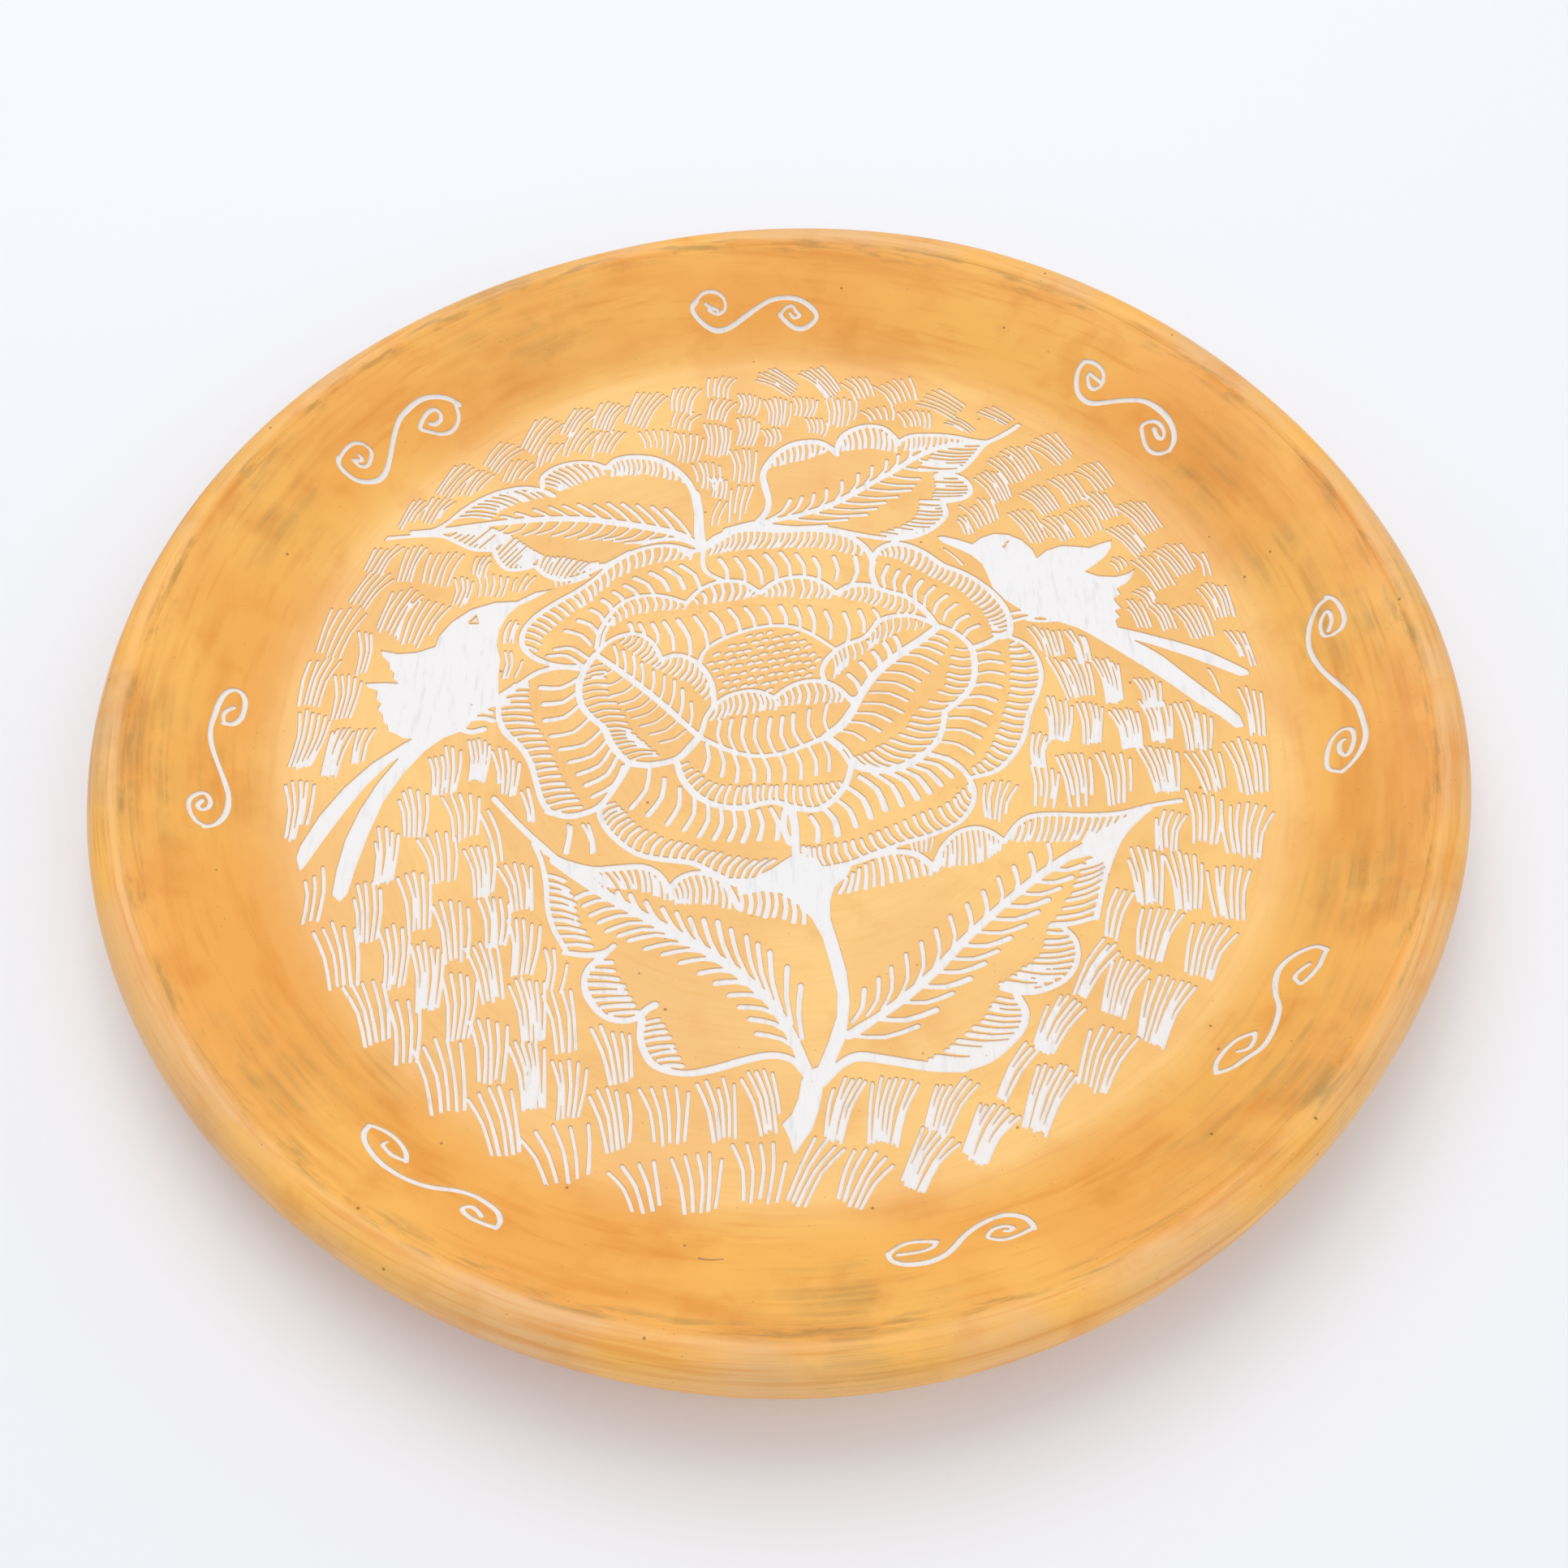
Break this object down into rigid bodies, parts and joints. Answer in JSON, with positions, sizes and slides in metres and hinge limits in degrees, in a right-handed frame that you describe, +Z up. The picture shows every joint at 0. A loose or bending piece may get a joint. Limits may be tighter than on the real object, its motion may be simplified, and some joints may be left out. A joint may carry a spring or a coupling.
{
  "type": "sgraffito plate",
  "caption": "Round shallow clay plate with a rolled lip, its ochre slip scratched through to white: flower, leaves, birds, grass marks and scrolls.",
  "frame": {"origin": "centre of the flat base, on the surface that the plate stands on", "axes": "+Z up out of the dish; -Y is the side where the stem of the design starts"},
  "size_m": [0.2809, 0.2809, 0.0248],
  "materials": {
    "clay": "unglazed, matt",
    "white_slip": "matt, scraped",
    "ochre_slip": "burnished, satin"
  },
  "bodies": {
    "root": {"base_disc": "clay", "wall_ring": "clay", "rim_lip": "clay", "white_slip_well": "white_slip", "white_slip_wall": "white_slip", "ochre_slip_well": "ochre_slip", "ochre_slip_wall": "ochre_slip", "ochre_slip_rim": "ochre_slip", "ochre_slip_outside": "ochre_slip", "flower_seed_head": "white_slip", "flower_inner_petals": "white_slip", "flower_outer_petals": "white_slip", "stem": "white_slip", "leaf_front_left": "white_slip", "leaf_front_right": "white_slip", "leaf_back_left": "white_slip", "leaf_back_right": "white_slip", "bird_left": "white_slip", "bird_right": "white_slip", "scroll_back": "white_slip", "scroll_back_right": "white_slip", "scroll_right": "white_slip", "scroll_front_right": "white_slip", "scroll_front": "white_slip", "scroll_front_left": "white_slip", "scroll_left": "white_slip", "scroll_back_left": "white_slip"}
  },
  "joints": []
}
